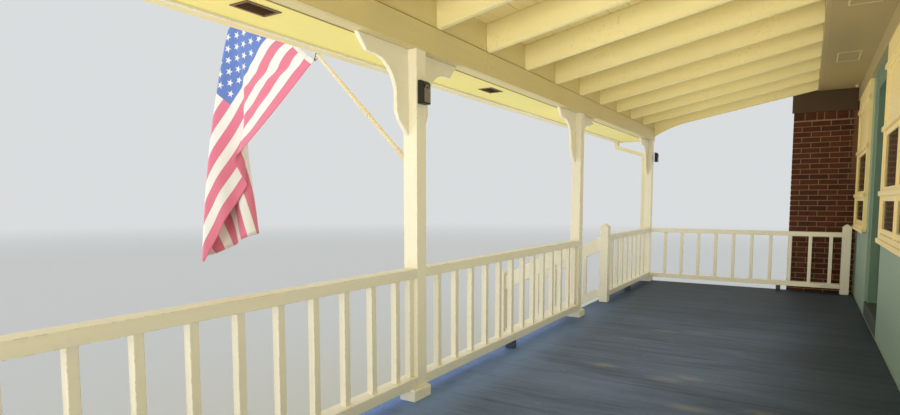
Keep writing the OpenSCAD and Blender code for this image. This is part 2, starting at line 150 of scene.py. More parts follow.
def mesh_object(name, bm):
    """A new object in the scene, made from a bmesh."""
    mesh = bpy.data.meshes.new(name)
    bm.to_mesh(mesh)
    bm.free()
    return put(name, mesh)


bm = bmesh.new()
bmesh.ops.create_circle(bm, cap_ends=True, segments=64, radius=STAGE_R)
stage_floor = mesh_object("stage_floor", bm)
stage_paint, tree = blank_material("stage")
floor_place = add_node(tree, "TexCoord").outputs["Object"]
from_middle = add_node(tree, "VectorMath", {0: floor_place}, operation="LENGTH")
fade = add_node(tree, "MapRange", {"Value": from_middle.outputs["Value"],
                "From Min": FADE_FROM, "From Max": FADE_TO}, interpolation_type="SMOOTHSTEP")
albedo = mixed(seen_straight(tree), (0.80, 0.79, 0.72, 1.0), (0.60, 0.60, 0.58, 1.0))
pale = add_node(tree, "BsdfDiffuse", {"Color": albedo})
clear = add_node(tree, "BsdfTransparent")
faded = add_node(tree, "MixShader", {0: fade.outputs[0], 1: pale.outputs[0], 2: clear.outputs[0]})
stage_floor.data.materials.append(shaded(stage_paint, faded))

sun = put("sun", bpy.data.lights.new("sun", "SUN"))
sun.data.energy = 0.38
sun.data.color = (1.0, 0.97, 0.86)
sun.data.angle = math.radians(45)
SUN_FROM = Vector((0.90, -0.35, 0.30))
sun.rotation_euler = SUN_FROM.to_track_quat("Z", "Y").to_euler()


def soft_fill(name, middle, turn, size, watts, tone, spread=140):
    """A flat lamp that lights in one direction and doesn't show."""
    lamp = put(name, bpy.data.lights.new(name, "AREA"))
    lamp.data.shape = "RECTANGLE"
    lamp.data.size, lamp.data.size_y = size
    lamp.data.energy, lamp.data.color = watts, tone
    lamp.data.spread = math.radians(spread)
    lamp.location = middle
    lamp.rotation_euler = [math.radians(a) for a in turn]
    lamp.visible_camera = lamp.visible_glossy = False


soft_fill("fill_from_house", (-1.2, 2.37, 1.7), (-90, 0, 0), (8.6, 1.5), 19, (1.0, 0.96, 0.84))
soft_fill("fill_from_deck", (-0.5, 1.1, 0.47), (180, 0, 0), (10.4, 1.9), 30, (1.0, 0.95, 0.80))
soft_fill("fill_from_near_end", (6.3, 1.0, 1.25), (0, 112, 0), (1.5, 2.2), 62, (1.0, 0.95, 0.84), 90)
soft_fill("fill_from_front", (0.0, -3.4, 0.5), (130, 0, 0), (11.0, 1.6), 74, (1.0, 0.98, 0.86), 95)


# The deck is painted slate grey: planed boards laid square to the house wall, with a narrow gap
# between them, screwed to the joists. Feet have worn the paint in pale streaks along the grain.
BOARD_PITCH = 0.143  # a 140 mm board and its gap
BOARD_GAP = 0.002
FIRST_GAP = -0.002  # a gap lies here, beside the middle post
WALL_GAP = 0.004
LOW_LIE, RAGGED = 0.0012, 0.003  # how much boards differ in height and at their outer ends
NARROWEST = 0.1  # a strip under this has no screws
RIM_T = 0.038
JOIST_LINES = 5
SCREW_R, SCREW_T, SCREW_LIFT = 0.0042, 0.0012, 0.0001
SCREW_INSET, SCREW_STRAY = 0.028, 0.006
TROD_Y, TROD_END_Y = (0.15, 0.7), (1.3, 2.3)  # where feet pass, from the railing to the wall
SCUFFS = ((-2.506, 0.909), (-2.58, 1.174), (-1.186, 0.76), (-1.082, 1.192), (-1.184, 1.319),
          (-0.609, 1.412), (-0.726, 1.745), (0.30, 1.05), (1.10, 0.72), (1.75, 1.40))
SCUFF_X, SCUFF_Y = 0.045, 0.10
SCRATCH_X, SCRATCH_Y, SCRATCH_END_Y = -2.062, (0.614, 0.654), (0.916, 1.216)
SKY_LIT_Y = (0.02, 0.46)  # beside the railing: painted sky light
SHADED_Y, SHADED_X = (1.1, 2.43), (-5.2, -0.8)  # painted shade toward the wall, and toward the far end
RNG = random.Random(41)


def tint(red, green, blue):
    """A screen colour, 0 to 255, as the linear colour that a shader takes."""
    return tuple((c / 255 / 12.92) if c < 10.5 else ((c / 255 + 0.055) / 1.055) ** 2.4
                 for c in (red, green, blue)) + (1.0,)


def times(first, second, clamp=False):
    return maths("MULTIPLY", first, second, clamp=clamp)


def plus(first, second, clamp=False):
    return maths("ADD", first, second, clamp=clamp)


def band(value, low, high, to_low=0.0, to_high=1.0):
    """A value eased from one range into another."""
    return add_node(value.id_data, "MapRange", {
        "Value": value, "From Min": low, "From Max": high, "To Min": to_low, "To Max": to_high},
        interpolation_type="SMOOTHSTEP").outputs[0]


def noise(place, scale, detail=4.0, roughness=0.55, twist=0.0):
    """Noise read at a place, or at a place that is first stretched by three scales."""
    if not isinstance(scale, (int, float)):
        place = add_node(place.id_data, "Mapping", {"Vector": place, "Scale": scale}).outputs[0]
        scale = 1.0
    return add_node(place.id_data, "TexNoise", {
        "Vector": place, "Scale": scale, "Detail": detail, "Roughness": roughness,
        "Distortion": twist}).outputs["Fac"]


def attribute(tree, name):
    return add_node(tree, "Attribute", attribute_name=name).outputs["Fac"]


def new_group(name, takes, gives):
    """An empty shader node group with named sockets. Returns the group, its input and its output."""
    tree = bpy.data.node_groups.new(name, "ShaderNodeTree")
    for socket_name, default in takes.items():
        kind = "NodeSocketFloat"
        if hasattr(default, "__len__"):
            kind = "NodeSocketColor" if len(default) == 4 else "NodeSocketVector"
        socket = tree.interface.new_socket(socket_name, in_out="INPUT", socket_type=kind)
        socket.default_value = default
    for socket_name, kind in gives.items():
        tree.interface.new_socket(socket_name, in_out="OUTPUT", socket_type=kind)
    return tree, tree.nodes.new("NodeGroupInput").outputs, tree.nodes.new("NodeGroupOutput").inputs


def use_group(tree, group, inputs):
    return add_node(tree, "Group", inputs, node_tree=group).outputs


def brush_coat():
    """Oil paint laid on by brush: streaks, soft clouds, stains and chipped edges."""
    tree, into, out = new_group("brushed_paint", {
        "Place": (0.0, 0.0, 0.0), "Grain": (0.0, 0.0, 0.0), "Color": (0.8, 0.8, 0.8, 1.0),
        "Bare": (0.3, 0.25, 0.2, 1.0), "Dirt": (0.2, 0.18, 0.12, 1.0), "Tone": 0.5, "Edge": 0.0,
        "Grime": 0.3, "Wear": 0.3, "Gloss": 0.45},
        {"Color": "NodeSocketColor", "Roughness": "NodeSocketFloat", "Height": "NodeSocketFloat"})
    strokes = noise(into["Grain"], 1.0, 5.0, 0.6)
    cloudy = noise(into["Place"], 1.7, 3.0)
    fine = noise(into["Place"], 38.0, 3.0)
    lightness = plus(times(strokes, 0.08), times(cloudy, 0.12))
    lightness = plus(lightness, times(into["Tone"], 0.07))
    shade = add_node(tree, "HueSaturation", {"Color": into["Color"], "Value": plus(lightness, 0.865)})
    spots = times(band(fine, 0.50, 0.80), band(cloudy, 0.45, 0.80))
    dirty = times(spots, into["Grime"], clamp=True)
    stained = mixed(dirty, shade.outputs[0], into["Dirt"])
    chips = plus(times(into["Edge"], 0.22), fine)
    worn = times(band(chips, 0.74, 0.80), into["Wear"], clamp=True)
    tree.links.new(mixed(worn, stained, into["Bare"]), out["Color"])
    dull = plus(times(dirty, 0.3), times(worn, 0.3))
    tree.links.new(plus(dull, into["Gloss"], clamp=True), out["Roughness"])
    tree.links.new(maths("SUBTRACT", times(strokes, 0.8), worn), out["Height"])
    return tree


brushed_paint = brush_coat()
STROKES = {"X": (1.6, 55.0, 55.0), "Y": (55.0, 1.6, 55.0), "Z": (55.0, 55.0, 1.6)}


def object_material(name):
    """A blank material, its node tree, and the place on the object that its patterns are read at."""
    made, tree = blank_material(name)
    return made, tree, add_node(tree, "TexCoord").outputs["Object"]


def surface_of(made, colour, roughness, height, depth, **plain):
    """Closes a material: a principled shader with a bump of the given depth in metres."""
    tree = made.node_tree
    bump = add_node(tree, "Bump", {"Height": height, "Distance": depth, "Strength": 1.0})
    return shaded(made, add_node(tree, "BsdfPrincipled", {
        "Base Color": colour, "Roughness": roughness, "Normal": bump.outputs[0],
        **{k.replace("_", " "): v for k, v in plain.items()}}))


def brushed(tree, place, along, **values):
    """Brushed paint with its strokes along one axis, and its values by name."""
    grain = add_node(tree, "Mapping", {"Vector": place, "Scale": STROKES[along]}).outputs[0]
    return use_group(tree, brushed_paint, {"Place": place, "Grain": grain, "Tone": attribute(tree, "tone"),
                     "Edge": attribute(tree, "edge"), **values})


def painted(name, colour, along, grime=0.15, wear=0.25, gloss=0.42, bare=tint(150, 132, 104),
            dirt=tint(92, 84, 60), depth=0.0006):
    """Oil paint brushed along one axis of a board."""
    made, tree, place = object_material(name)
    coat = brushed(tree, place, along, Color=colour, Bare=bare, Dirt=dirt, Grime=grime, Wear=wear,
                   Gloss=gloss)
    return surface_of(made, coat["Color"], coat["Roughness"], coat["Height"], depth)


def piece(name, bm, materials, slot, *stands_for):
    """Makes the mesh an object that rides on the porch and may stand for CAD nodes."""
    made = mesh_object(name, bm)
    for material in materials:
        made.data.materials.append(material)
    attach(made, "root")
    if stands_for:
        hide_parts(*stands_for)
    return made


def ease_edges(bm, ease, segments=1):
    """Rounds the outer edges over and marks the new faces, where paint wears first."""
    edge = bm.faces.layers.float.get("edge") or bm.faces.layers.float.new("edge")
    corners = [e for e in bm.edges if e.is_manifold and e.is_convex and e.calc_face_angle() > 0.5]
    made = bmesh.ops.bevel(bm, geom=corners, affect="EDGES", offset=ease, segments=segments,
                           profile=0.5, material=-1, clamp_overlap=True)
    for face in made["faces"]:
        face[edge] = 1.0


def block_place(middle, size):
    """What turns a unit cube into a block of this size about this middle."""
    return Matrix.Translation(middle) @ Matrix.Diagonal((*size, 1))


def add_block(bm, place, tone):
    """Adds a block with one tone on all its faces."""
    corners = bmesh.ops.create_cube(bm, size=1, matrix=place)["verts"]
    layer = bm.faces.layers.float["tone"]
    for face in {f for v in corners for f in v.link_faces}:
        face[layer] = tone


def slabs(blocks, ease, segments=1):
    """One mesh of separate blocks with eased edges: low corner, high corner and tone of each."""
    bm = bmesh.new()
    bm.faces.layers.float.new("tone")
    for low, high, tone in blocks:
        low, high = Vector(low), Vector(high)
        add_block(bm, block_place((low + high) / 2, high - low), tone)
    if ease:
        ease_edges(bm, ease, segments)
    return bm


def worn_deck_paint():
    """Slate porch paint with pale scuffs and specks, painted dappled light, painted sky light by the rails
    and painted shade by the wall.
    """
    made, tree, place = object_material("deck_paint")
    coat = brushed(tree, place, "Y", Color=tint(97, 114, 152), Bare=tint(118, 120, 122),
                   Dirt=tint(46, 50, 52), Grime=0.35, Wear=0.35, Gloss=0.58)
    parted = add_node(tree, "SeparateXYZ", {"Vector": place}).outputs
    by_board = add_node(tree, "CombineXYZ", {"Y": times(attribute(tree, "tone"), 31.0)})
    shifted = add_node(tree, "VectorMath", {0: place, 1: by_board.outputs[0]}).outputs[0]
    streaks = noise(shifted, (26.0, 1.5, 10.0), 5.0, 0.62)
    # Broad patches lighter and darker than the paint: painted dappled light and shadow.
    dappled_light = noise(place, (2.6, 0.9, 1.0), 5.0, 0.65, 0.6)
    shade = plus(band(dappled_light, 0.30, 0.70, 0.72, 1.22), band(streaks, 0.35, 0.65, -0.10, 0.10))
    mottled = add_node(tree, "HueSaturation", {"Color": coat["Color"], "Value": shade}).outputs[0]
    path = times(band(parted["Y"], *TROD_Y), band(parted["Y"], *TROD_END_Y, 1.0, 0.0))
    patchy = band(noise(place, (0.8, 1.1, 1.0), 3.0), 0.40, 0.62)
    scuff = times(band(streaks, 0.54, 0.74), times(path, patchy), clamp=True)
    scuffed = mixed(times(scuff, 0.7), mottled, tint(110, 116, 124))
    specks = band(noise(place, (30.0, 13.0, 30.0), 2.0), 0.725, 0.75)
    marks = times(specks, times(path, 0.8))
    broken = noise(place, (85.0, 9.0, 30.0), 5.0, 0.75)
    for x, y in SCUFFS:
        away = add_node(tree, "Mapping", {
            "Vector": place, "Location": (-x / SCUFF_X, -y / SCUFF_Y, 0),
            "Scale": (1 / SCUFF_X, 1 / SCUFF_Y, 0)}).outputs[0]
        reach = add_node(tree, "VectorMath", {0: away}, operation="LENGTH").outputs["Value"]
        worn_off = maths("SUBTRACT", reach, times(broken, 4.0))
        marks = most(marks, band(worn_off, -1.9, -0.5, 0.6, 0.0))
    off_line = maths("ABSOLUTE", maths("SUBTRACT", parted["X"], SCRATCH_X))
    along_line = times(band(parted["Y"], *SCRATCH_Y), band(parted["Y"], *SCRATCH_END_Y, 1.0, 0.0))
    scratch = times(band(off_line, 0.004, 0.012, 0.8, 0.0), along_line)
    marked = mixed(most(marks, scratch), scuffed, tint(150, 152, 154))
    # A pale blue band beside the railing: painted sky light.
    sky_lit_share = times(band(parted["Y"], *SKY_LIT_Y, 0.95, 0.0),
                   band(noise(place, (1.3, 5.0, 1.0), 4.0), 0.30, 0.60, 0.5, 1.0))
    sky_lit = mixed(sky_lit_share, marked, tint(126, 156, 212))
    # Darker towards the wall and the far end: painted shade under the roof.
    painted_shade = most(band(parted["Y"], *SHADED_Y, 0.0, 0.82), band(parted["X"], *SHADED_X, 0.92, 0.0))
    final = mixed(painted_shade, sky_lit, tint(46, 58, 66))
    rough = plus(coat["Roughness"], times(scuff, 0.2), clamp=True)
    return surface_of(made, final, rough, coat["Height"], 0.0008, Specular_IOR_Level=0.18)


deck_low, deck_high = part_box("deck_floor")
first = math.ceil((deck_low.x - FIRST_GAP) / BOARD_PITCH)
last = math.floor((deck_high.x - FIRST_GAP) / BOARD_PITCH)
seams = [deck_low.x] + [FIRST_GAP + n * BOARD_PITCH for n in range(first, last + 1)] + [deck_high.x]
boards = []
for left, right in zip(seams, seams[1:]):
    sunk = RNG.uniform(0.0, LOW_LIE)
    boards.append(((left + BOARD_GAP / 2, deck_low.y + RNG.uniform(0, RAGGED), deck_low.z),
                   (right - BOARD_GAP / 2, deck_high.y - WALL_GAP, deck_high.z - sunk), RNG.random()))
piece("deck_boards", slabs(boards, 0.002, 2), [worn_deck_paint()], "deck_paint", "deck_floor")

rim_low, rim_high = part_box("deck_rim")
joist_gap = (rim_high.y - rim_low.y - 2 * RIM_T) / (JOIST_LINES + 1)
screw_lines = [rim_low.y + RIM_T / 2, rim_high.y - RIM_T / 2]
screw_lines += [rim_low.y + RIM_T + n * joist_gap for n in range(1, JOIST_LINES + 1)]
bm = bmesh.new()
for low, high, _ in boards:
    if high[0] - low[0] < NARROWEST:
        continue
    for line in screw_lines:
        for x in (low[0] + SCREW_INSET, high[0] - SCREW_INSET):
            at = (x, line + RNG.uniform(-SCREW_STRAY, SCREW_STRAY), high[2] + SCREW_LIFT)
            bmesh.ops.create_cone(bm, cap_ends=True, segments=8, radius1=SCREW_R, radius2=SCREW_R * 0.6,
                                  depth=SCREW_T, matrix=Matrix.Translation(at))
screw_paint = painted("screw_paint", tint(58, 62, 68), "X", grime=0.5, wear=0.8, bare=tint(96, 84, 72))
piece("deck_screws", bm, [screw_paint], "deck_paint")


# Everything under the deck is sawn softwood on brick piers: painted rim boards outside, bare joists
# and girders inside.
def merged(node):
    """A copy of a CAD node with its loose triangles joined."""
    bm = bmesh.new()
    bm.from_mesh(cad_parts[node].data)
    bmesh.ops.remove_doubles(bm, verts=bm.verts, dist=1e-5)
    return bm


def bodies(elements, neighbours):
    """The sets of vertices or faces that hang together, in the order of their first ones."""
    left = set(elements)
    while left:
        front = [min(left, key=lambda e: e.index)]
        found = set(front)
        while front:
            near = set(neighbours(front.pop())) - found
            found |= near
            front += near
        left -= found
        yield found


def cad_copy(node, ease, segments=2):
    """A copy of a CAD node with its triangles merged into faces, its edges eased, and a tone for
    each separate solid."""
    bm = merged(node)
    bmesh.ops.dissolve_limit(bm, angle_limit=math.radians(0.5), verts=bm.verts, edges=bm.edges)
    tone = bm.faces.layers.float.new("tone")
    for body in bodies(bm.faces, lambda f: [near for e in f.edges for near in e.link_faces]):
        body_tone = RNG.random()
        for face in body:
            face[tone] = body_tone
    if ease:
        ease_edges(bm, ease, segments)
    return bm


def dressed(name, node, paint, slot, ease=0.003, segments=2):
    """A piece that stands for one CAD node: its eased copy in a finer material."""
    return piece(name, cad_copy(node, ease, segments), [paint], slot, node)


def sawn_timber(name, along):
    """Bare sawn softwood, weathered brown, with darker latewood lines."""
    made, tree, place = object_material(name)
    scales = {"X": (1.2, 26.0, 26.0), "Y": (26.0, 1.2, 26.0)}[along]
    rings = noise(place, scales, 6.0, 0.6, 0.4)
    lines = noise(place, tuple(s * 3.2 for s in scales), 4.0, 0.6)
    colour = mixed(band(rings, 0.35, 0.7), tint(158, 128, 92), tint(112, 84, 56))
    colour = mixed(band(lines, 0.5, 0.8, 0.0, 0.5), colour, tint(74, 56, 40))
    return surface_of(made, colour, 0.82, plus(rings, lines), 0.0012)


CREAM = tint(245, 239, 220)
cream = {axis: painted(f"cream_paint_{axis.lower()}", CREAM, axis) for axis in "XYZ"}
dressed("rim_boards", "deck_rim", cream["X"], "cream_paint")
dressed("rim_end_boards", "deck_rim_ends", cream["Y"], "cream_paint")
timber_y = sawn_timber("timber_y", "Y")
dressed("floor_joists", "joists", sawn_timber("timber_x", "X"), "timber", 0.002, 1)
dressed("floor_girders", "girders", timber_y, "timber", 0.002, 1)


# Brickwork: the piers under the deck and the wing beyond its far end. Dark red bricks in running
# bond with struck joints of pale mortar, and a course of cut bricks on end under the frieze.
BRICK_L, BRICK_H, BRICK_W, JOINT = 0.194, 0.0575, 0.090, 0.0095
JOINT_DEPTH = 0.007
CAP_H = 0.095  # the cut bricks of the top course
CAP_WIDTHS = (0.1175, 0.1175, 0.0705)
LEAST_RUN, LEAST_BRICK, LEAST_END = 0.02, 0.03, 0.015  # no brick is laid in less room


def smear_beside_wall():
    """Old paint and mortar wiped over the masonry beside the house wall, high up."""
    tree, into, out = new_group("wall_smear", {"Place": (0.0, 0.0, 0.0), "Color": (0.5, 0.5, 0.5, 1.0)},
                                {"Color": "NodeSocketColor"})
    parted = add_node(tree, "SeparateXYZ", {"Vector": into["Place"]}).outputs
    ragged = times(noise(into["Place"], 9.0, 4.0), 0.10)
    across = band(plus(parted["Y"], ragged), 2.395, 2.425)
    up = band(plus(parted["Z"], ragged), 1.75, 2.15)
    smear = times(times(across, up), 0.75)
    tree.links.new(mixed(smear, into["Color"], tint(136, 98, 66)), out["Color"])
    return tree


wall_smear = smear_beside_wall()


def brick_face():
    """Wire-cut clay, from plum to rust, with burnt spots."""
    made, tree, place = object_material("brick_face")
    grit = noise(place, 160.0, 4.0, 0.7)
    cloud = noise(place, 14.0, 4.0, 0.6)
    colour = mixed(attribute(tree, "tone"), tint(74, 38, 26), tint(100, 54, 34))
    colour = mixed(band(cloud, 0.4, 0.8, 0.0, 0.7), colour, tint(54, 31, 24))
    colour = mixed(band(grit, 0.62, 0.8, 0.0, 0.5), colour, tint(146, 94, 66))
    edge = times(attribute(tree, "edge"), band(grit, 0.4, 0.6, 0.0, 0.45))
    colour = mixed(edge, colour, tint(146, 112, 84))
    colour = use_group(tree, wall_smear, {"Place": place, "Color": colour})["Color"]
    return surface_of(made, colour, 0.88, plus(grit, cloud), 0.0022)


def mortar_face():
    """Pale sandy mortar."""
    made, tree, place = object_material("mortar_face")
    sand = noise(place, 420.0, 3.0, 0.7)
    colour = mixed(noise(place, 5.0, 3.0), tint(142, 114, 88), tint(174, 144, 114))
    colour = use_group(tree, wall_smear, {"Place": place, "Color": colour})["Color"]
    return surface_of(made, colour, 0.95, sand, 0.0015)


def brick_courses(low, high, capped=False):
    """Bricks round the four sides of a block of masonry, course by course from the ground."""
    top = high.z - CAP_H - JOINT if capped else high.z
    count = round((top - low.z) / (BRICK_H + JOINT))
    step = (top - low.z) / count
    ends_x = ((low.x, low.x + BRICK_W), (high.x - BRICK_W, high.x))
    ends_y = ((low.y, low.y + BRICK_W), (high.y - BRICK_W, high.y))
    inner_x = (low.x + BRICK_W + JOINT, high.x - BRICK_W - JOINT)
    for n in range(count):
        z0 = low.z + n * step
        z1 = z0 + step - JOINT
        for x0, x1 in ends_x:
            y = low.y - ((count - 1 - n) % 2) * (BRICK_L + JOINT) / 2
            while y < high.y - LEAST_RUN:
                ends = max(y, low.y), min(y + BRICK_L, high.y)
                if ends[1] - ends[0] > LEAST_BRICK:
                    yield (x0, ends[0], z0), (x1, ends[1], z1), RNG.random()
                y += BRICK_L + JOINT
        for y0, y1 in ends_y:
            x = inner_x[0]
            while inner_x[1] - x > LEAST_END:
                stop = min(x + BRICK_L, inner_x[1])
                yield (x, y0, z0), (stop, y1, z1), RNG.random()
                x = stop + JOINT
    if capped:
        z0, z1 = high.z - CAP_H, high.z - 0.001
        for x0, x1 in ends_x:
            y, n = low.y, 0
            while y < high.y - LEAST_RUN:
                stop = min(y + CAP_WIDTHS[n % len(CAP_WIDTHS)], high.y)
                yield (x0, y, z0), (x1, stop, z1), RNG.random()
                y, n = stop + JOINT, n + 1
        for y0, y1 in ends_y:
            yield (inner_x[0], y0 + 0.0005, z0), (inner_x[1], y1 - 0.0005, z1), RNG.random()


def solid_boxes(node):
    """The low and high corners of each separate solid of a CAD node."""
    bm = merged(node)
    boxes = [[Vector(pick(v.co[i] for v in body) for i in range(3)) for pick in (min, max)]
             for body in bodies(bm.verts, lambda v: [e.other_vert(v) for e in v.link_edges])]
    bm.free()
    return boxes


def mortar_core(low, high):
    inset = Vector((JOINT_DEPTH, JOINT_DEPTH, 0.0))
    return low + inset, high - inset, 0.5


brick, mortar = brick_face(), mortar_face()
wing_low, wing_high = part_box("brick_return")
piece("wing_bricks", slabs(brick_courses(wing_low, wing_high, True), 0.003), [brick], "brick",
      "brick_return")
piece("wing_mortar", slabs([mortar_core(wing_low, wing_high)], 0.001), [mortar], "brick")
pier_bricks, pier_mortar = [], []
for low, high in solid_boxes("piers"):
    pier_bricks += brick_courses(low, high)
    pier_mortar.append(mortar_core(low, high))
piece("pier_bricks", slabs(pier_bricks, 0.003), [brick], "concrete", "piers")
piece("pier_mortar", slabs(pier_mortar, 0.001), [mortar], "concrete")


# Five square posts, each on a slightly wider foot block, with brackets sawn from thick board. All
# in cream oil paint with spots of grime and chipped edges.
for post in ("post_far_end", "post_steps", "post_middle", "post_near", "post_near_end"):
    dressed(post + "_painted", post, cream["Z"], "cream_paint", 0.004)
dressed("sawn_brackets", "post_brackets", cream["X"], "cream_paint")


# The beam and its facing board, the rafters with their blocking, and the deeper pair at the ends.
# The cream paint under the roof is given yellower copies: painted warm light on the rafters, and painted
# shade on the darker beam and blocking.
# The beam's paint is the cream darker and yellower: painted shade. The rafters' paint is the cream
# yellowed: painted warm light.
beam_paint = painted("beam_paint", tint(222, 206, 152), "X", grime=0.35, wear=0.1)
rafter_paint = painted("rafter_paint", tint(250, 238, 184), "Y", grime=0.25, wear=0.1)
dressed("front_beam", "beam", beam_paint, "beam_paint", 0.004)
dressed("front_beam_facing", "beam_facing", beam_paint, "beam_paint")
dressed("roof_rafters", "rafters", rafter_paint, "rafter_paint")
dressed("rafter_blocks", "rafter_blocking", beam_paint, "beam_paint", 0.002, 1)
dressed("end_rafter_pair", "end_rafters", rafter_paint, "cream_paint")

SHADOW_LINE_W, SHADOW_LINE_T = 0.004, 0.001  # painted shadow in the open joints along the beam
UNDER_SHADOW_W, UNDER_SHADOW_T = 0.012, 0.0012
beam_low, beam_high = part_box("beam")
facing_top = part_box("beam_facing")[1]
# Dark strips on the beam's top joint and under its lower edge: painted shadow in open joints.
shadow_line_paint = painted("joint_shadow", tint(150, 126, 72), "X", grime=0.6, wear=0.0)
shadow_lines = [((beam_low.x, facing_top.y, facing_top.z - SHADOW_LINE_W / 2),
               (beam_high.x, facing_top.y + SHADOW_LINE_T, facing_top.z + SHADOW_LINE_W / 2), 0.5),
              ((beam_low.x, beam_low.y - UNDER_SHADOW_W, beam_low.z - UNDER_SHADOW_T),
               (beam_high.x, beam_low.y, beam_low.z), 0.5)]
piece("joint_shadow_lines", slabs(shadow_lines, 0.0003), [shadow_line_paint], "beam_paint")


# The roof: boards laid along the house on the rafters, painted below, and courses of three-tab
# shingles nailed over them.
covering_low, covering_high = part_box("roof_covering")
boarding_low, boarding_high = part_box("roof_deck")
BOARDING_T = 0.015
PITCH = math.atan((boarding_high.z - boarding_low.z - BOARDING_T) / (boarding_high.y - boarding_low.y))
SHEATHING_W, SHEATHING_T = 0.140, 0.0146
SHEATHING_GAP = 0.001
SHEATHING_RUN, SHORTEST = (2.4, 4.8), 0.6  # lengths of boards, and the least that a last one may have
EXPOSURE, TAB_W, TAB_GAP, SHINGLE_T = 0.143, 0.305, 0.006, 0.0035
LEAST_TAB = 0.02
SHINGLE_LIFT = 0.0008  # how far a tab may stand off
OVERHANG = 0.012  # past the end rafter
UNDERLAY_T = 0.002
WING_EDGE_Y = 1.684  # over the wing, the roof reaches further from here on
rafters_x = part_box("end_rafters")[0].x


def on_roof(bm, y, z):
    """Turns a mesh laid flat, with its lower edge on the X axis, onto the slope from (y, z)."""
    place = Matrix.Translation((0, y, z)) @ Matrix.Rotation(PITCH, 4, "X")
    bmesh.ops.transform(bm, matrix=place, verts=bm.verts)
    return bm


def roof_strips(low, high, wide, end_x):
    """Courses up the slope: number, lower and upper edge, and the far and near ends of each."""
    length = (high.y - low.y) / math.cos(PITCH)
    for n in range(math.ceil(length / wide - 1e-6)):
        start = n * wide
        over_wing = low.y + start * math.cos(PITCH) > WING_EDGE_Y - 0.02
        yield n, start, min(start + wide, length), low.x if over_wing else end_x, high.x


blocks = []
for _, start, end, x, x_end in roof_strips(boarding_low, boarding_high, SHEATHING_W, rafters_x):
    while x < x_end - 0.01:
        stop = min(x + RNG.uniform(*SHEATHING_RUN), x_end)
        if x_end - stop < SHORTEST:
            stop = x_end
        blocks.append(((x, start + SHEATHING_GAP, 0.0),
                       (stop - SHEATHING_GAP, end - SHEATHING_GAP, SHEATHING_T), RNG.random()))
        x = stop
boarding = on_roof(slabs(blocks, 0.002), boarding_low.y, boarding_low.z)
# The boards' paint is the cream made yellow: painted warm light from below.
boarding_paint = painted("boarding_paint", tint(246, 228, 170), "X", grime=0.4, wear=0.1)
piece("roof_boarding", boarding, [boarding_paint], "timber", "roof_deck")


def shingle_face():
    """Mineral granules of several greys, with darker clouds."""
    made, tree, place = object_material("shingle_face")
    grains = add_node(tree, "TexVoronoi", {"Vector": place, "Scale": 420.0}).outputs["Color"]
    grain = add_node(tree, "SeparateColor", {"Color": grains}).outputs[0]
    cloud = noise(place, 2.2, 3.0)
    colour = mixed(attribute(tree, "tone"), tint(92, 88, 84), tint(128, 122, 114))
    colour = mixed(band(grain, 0.2, 0.9, 0.0, 0.6), colour, tint(66, 62, 60))
    colour = mixed(band(grain, 0.86, 0.95, 0.0, 0.7), colour, tint(170, 160, 146))
    colour = mixed(band(cloud, 0.5, 0.8, 0.0, 0.35), colour, tint(76, 78, 66))
    return surface_of(made, colour, 0.93, grain, 0.0014)


covering_run = (covering_high.y - covering_low.y) / math.cos(PITCH)
tabs = []
for n, start, end, x, x_end in roof_strips(covering_low, covering_high, EXPOSURE, rafters_x - OVERHANG):
    cut = x - (n % 2) * TAB_W / 2
    while cut < x_end - 0.005:
        left, right = max(cut, x) + TAB_GAP / 2, min(cut + TAB_W, x_end) - TAB_GAP / 2
        if right - left > LEAST_TAB:
            head = min(start + EXPOSURE * 1.9, end + EXPOSURE, covering_run)
            tabs.append((Vector((left, start, 0.0)), Vector((right, head, SHINGLE_T)), RNG.random()))
        cut += TAB_W
shingles = bmesh.new()
shingles.faces.layers.float.new("tone")
lie = Matrix.Rotation(-SHINGLE_T * 1.02 / EXPOSURE, 4, "X")
for low, high, tone in tabs:
    size = high - low
    foot = Vector(((low + high).x / 2, low.y, SHINGLE_T * 1.1 + RNG.uniform(0, SHINGLE_LIFT)))
    add_block(shingles, Matrix.Translation(foot) @ lie @ Matrix.Translation((0, size.y / 2, SHINGLE_T / 2))
              @ Matrix.Diagonal((*size, 1)), tone)
add_block(shingles, block_place(((rafters_x + covering_high.x) / 2, covering_run / 2, UNDERLAY_T / 2),
                                (covering_high.x - rafters_x, covering_run, UNDERLAY_T)), 0.0)
piece("roof_shingles", on_roof(shingles, covering_low.y, covering_low.z), [shingle_face()], "shingle",
      "roof_covering")


# The outer eave: a painted board behind a rolled gutter, a flat boxed soffit with slatted brown
# vents, and flat-sided pipes down the end posts.
gutter_paint = painted("gutter_enamel", tint(240, 225, 170), "X", grime=0.5, wear=0.0,
                       gloss=0.32, depth=0.0001)
pipe_paint = painted("pipe_enamel", tint(236, 226, 190), "Z", grime=0.4, wear=0.0, gloss=0.32,
                     depth=0.0001)
vent_brown = painted("vent_enamel", tint(112, 84, 54), "X", grime=0.5, wear=0.2, gloss=0.4)
# The soffit's paint is the cream made bright yellow: painted light bounced up from the ground.
soffit_paint = painted("soffit_paint", tint(254, 240, 144), "X", grime=0.2, wear=0.05)
dressed("fascia_board", "fascia", cream["X"], "cream_paint")
dressed("boxed_soffit", "eave_soffit", soffit_paint, "soffit_paint", 0.002, 1)
dressed("vent_grilles", "soffit_vents", vent_brown, "vent_metal", 0.0004, 1)
dressed("rolled_gutter", "gutter", gutter_paint, "gutter_metal", 0.0)
dressed("rain_pipes", "downspouts", pipe_paint, "gutter_metal", 0.004)


# The house side: ledger, flat eave ceiling and frieze board in one cream with some grime, made darker
# and yellower as painted shade under the roof, over a wall of smooth painted panels.
PATCHES = ((-2.31, -2.11, 2.10, 2.30), (-4.27, -3.84, 2.10, 2.29))  # painted-over cover frames
PATCH_W, PATCH_T = 0.014, 0.003
COVER_X, COVER_Y = -5.75, 2.365
COVER_R = 0.026


